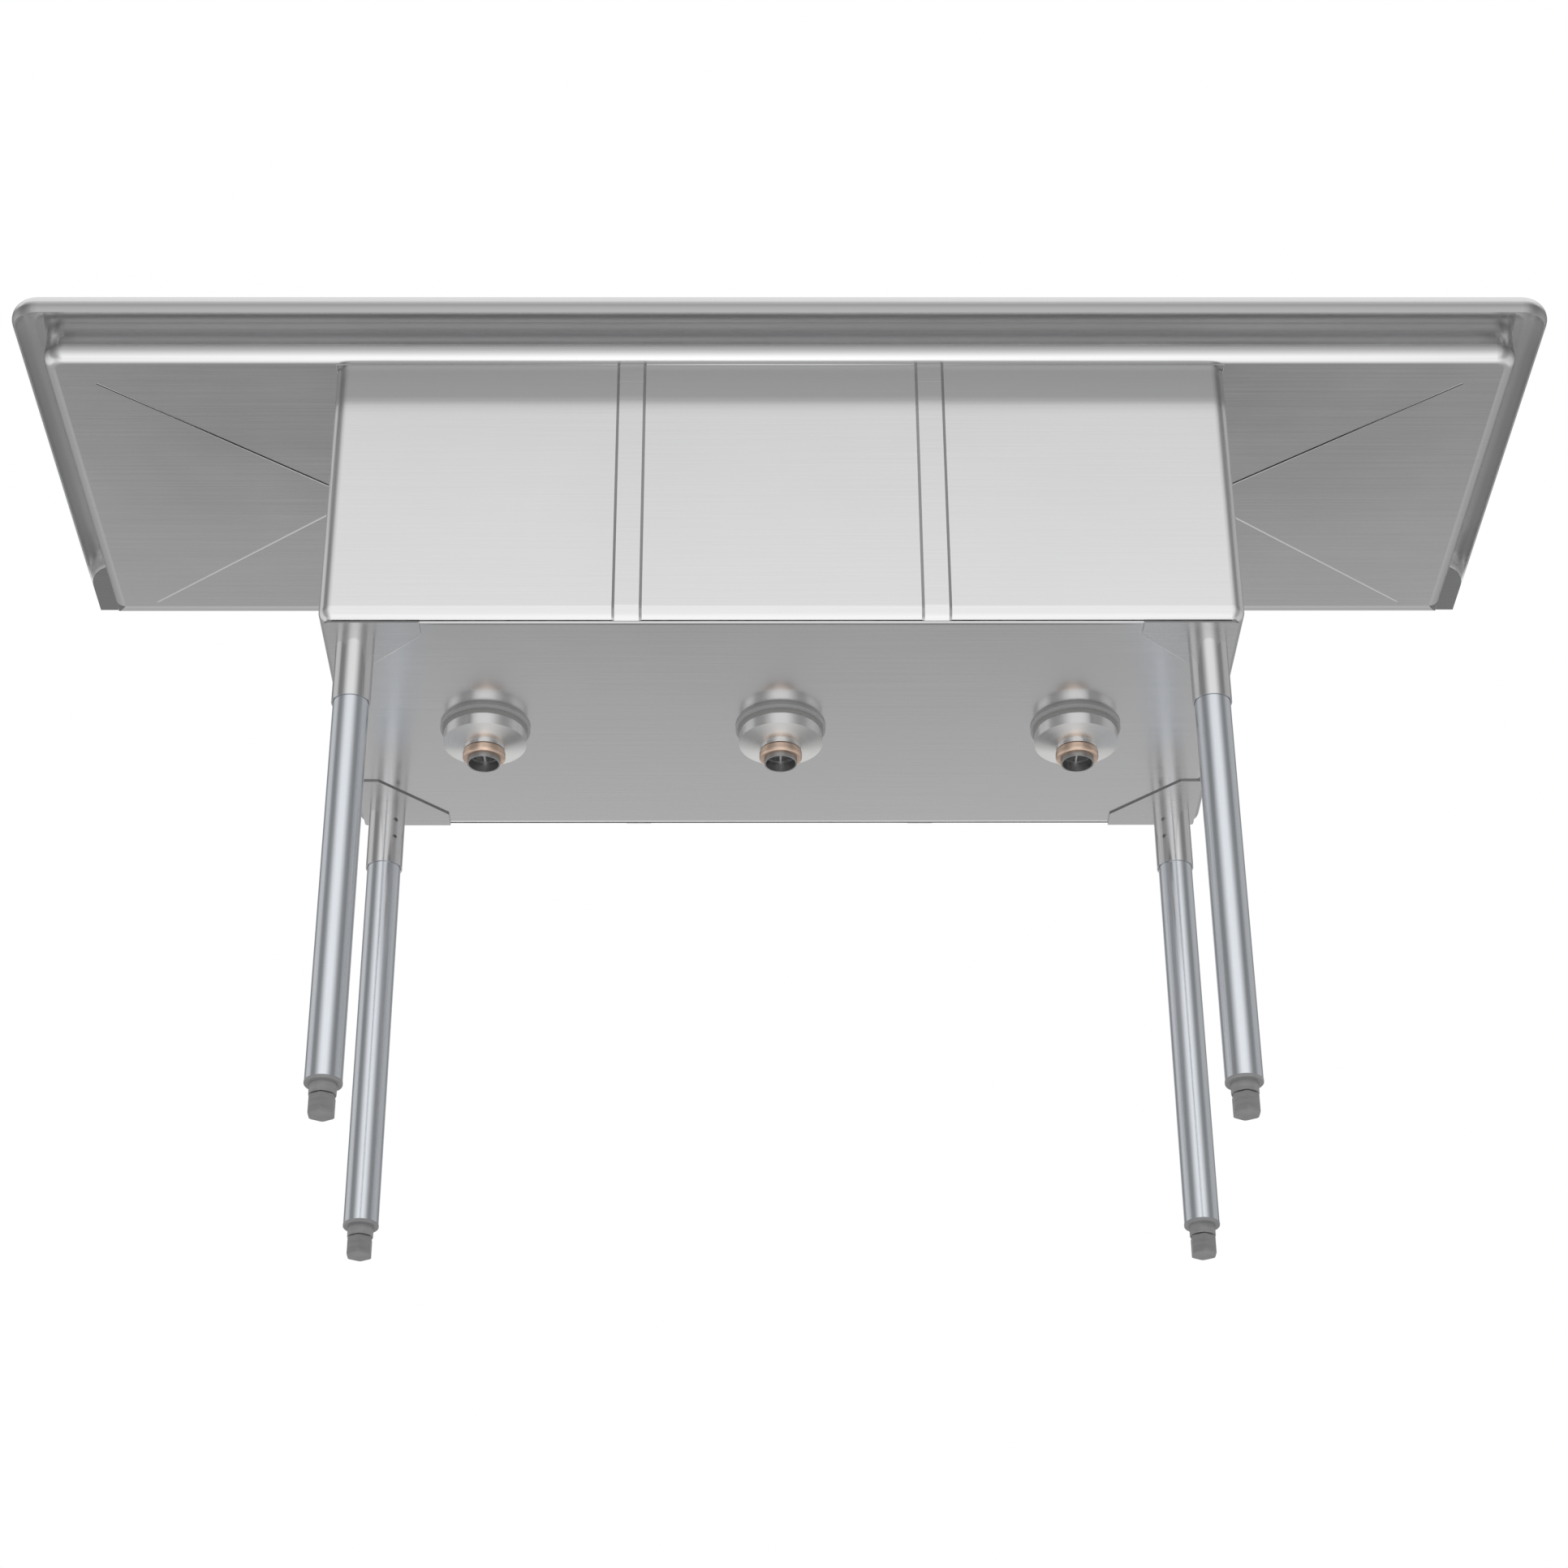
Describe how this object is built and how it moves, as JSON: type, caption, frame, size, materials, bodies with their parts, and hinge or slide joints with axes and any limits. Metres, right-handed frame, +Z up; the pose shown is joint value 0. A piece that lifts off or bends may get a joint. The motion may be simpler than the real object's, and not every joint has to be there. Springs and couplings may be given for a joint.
{
  "type": "three compartment sink",
  "caption": "Free-standing stainless steel sink with three bowls side by side, a drainboard at each end, a rolled rim, a backsplash and tube legs with adjustable feet.",
  "frame": {"origin": "on the floor, below the centre of the bounding box", "axes": "+X to the right of a person at the sink, -Y towards that person, +Z up"},
  "size_m": [1.8444, 0.6418, 1.219],
  "materials": {
    "stainless_sheet": "satin brushed sheet",
    "gusset_steel": "satin brushed sheet",
    "stainless_tube": "satin tube",
    "galvanised_tube": "galvanised, semi-bright",
    "screw_steel": "plain steel",
    "foot_nylon": "moulded",
    "insert_nylon": "moulded",
    "drain_steel": "turned and polished",
    "basket_steel": "polished",
    "brass": "plain",
    "tailpiece_zinc": "plain",
    "black_rubber": "matt",
    "fibre": "matt"
  },
  "bodies": {
    "sink": {"backsplash": "stainless_sheet", "bowl_wrap": "stainless_sheet", "centre_cup_nut": "drain_steel", "centre_drain_body": "drain_steel", "centre_slip_nut": "brass", "centre_tailpiece": "tailpiece_zinc", "drain_gaskets": "black_rubber", "friction_washers": "fibre", "front_gap_strips": "stainless_sheet", "front_left_foot_insert": "insert_nylon", "front_left_gusset": "gusset_steel", "front_left_leg": "galvanised_tube", "front_left_leg_socket": "stainless_tube", "front_right_foot_insert": "insert_nylon", "front_right_gusset": "gusset_steel", "front_right_leg": "galvanised_tube", "front_right_leg_socket": "stainless_tube", "front_rim": "stainless_sheet", "left_bowl_end": "stainless_sheet", "left_cup_nut": "drain_steel", "left_divider": "stainless_sheet", "left_drain_body": "drain_steel", "left_drainboard": "stainless_sheet", "left_slip_nut": "brass", "left_splash_closure": "stainless_sheet", "left_tailpiece": "tailpiece_zinc", "rear_gap_strips": "stainless_sheet", "rear_ledge": "stainless_sheet", "rear_left_foot_insert": "insert_nylon", "rear_left_gusset": "gusset_steel", "rear_left_leg": "galvanised_tube", "rear_left_leg_socket": "stainless_tube", "rear_right_foot_insert": "insert_nylon", "rear_right_gusset": "gusset_steel", "rear_right_leg": "galvanised_tube", "rear_right_leg_socket": "stainless_tube", "right_bowl_end": "stainless_sheet", "right_cup_nut": "drain_steel", "right_divider": "stainless_sheet", "right_drain_body": "drain_steel", "right_drainboard": "stainless_sheet", "right_slip_nut": "brass", "right_splash_closure": "stainless_sheet", "right_tailpiece": "tailpiece_zinc", "set_screws": "screw_steel"},
    "front_left_foot_body": {"front_left_foot": "foot_nylon"},
    "front_right_foot_body": {"front_right_foot": "foot_nylon"},
    "rear_left_foot_body": {"rear_left_foot": "foot_nylon"},
    "rear_right_foot_body": {"rear_right_foot": "foot_nylon"},
    "centre_strainer_basket_body": {"centre_strainer_basket": "basket_steel"},
    "left_strainer_basket_body": {"left_strainer_basket": "basket_steel"},
    "right_strainer_basket_body": {"right_strainer_basket": "basket_steel"}
  },
  "joints": [
    {"name": "front_left_foot_screw", "type": "slide", "parent": "sink", "child": "front_left_foot_body", "axis": [0, 0, 1], "range_m": [-0.025, 0]},
    {"name": "front_right_foot_screw", "type": "slide", "parent": "sink", "child": "front_right_foot_body", "axis": [0, 0, 1], "range_m": [-0.025, 0]},
    {"name": "rear_left_foot_screw", "type": "slide", "parent": "sink", "child": "rear_left_foot_body", "axis": [0, 0, 1], "range_m": [-0.025, 0]},
    {"name": "rear_right_foot_screw", "type": "slide", "parent": "sink", "child": "rear_right_foot_body", "axis": [0, 0, 1], "range_m": [-0.025, 0]},
    {"name": "centre_strainer_basket_lift", "type": "slide", "parent": "sink", "child": "centre_strainer_basket_body", "axis": [0, 0, 1], "range_m": [0, 0.1]},
    {"name": "left_strainer_basket_lift", "type": "slide", "parent": "sink", "child": "left_strainer_basket_body", "axis": [0, 0, 1], "range_m": [0, 0.1]},
    {"name": "right_strainer_basket_lift", "type": "slide", "parent": "sink", "child": "right_strainer_basket_body", "axis": [0, 0, 1], "range_m": [0, 0.1]}
  ]
}
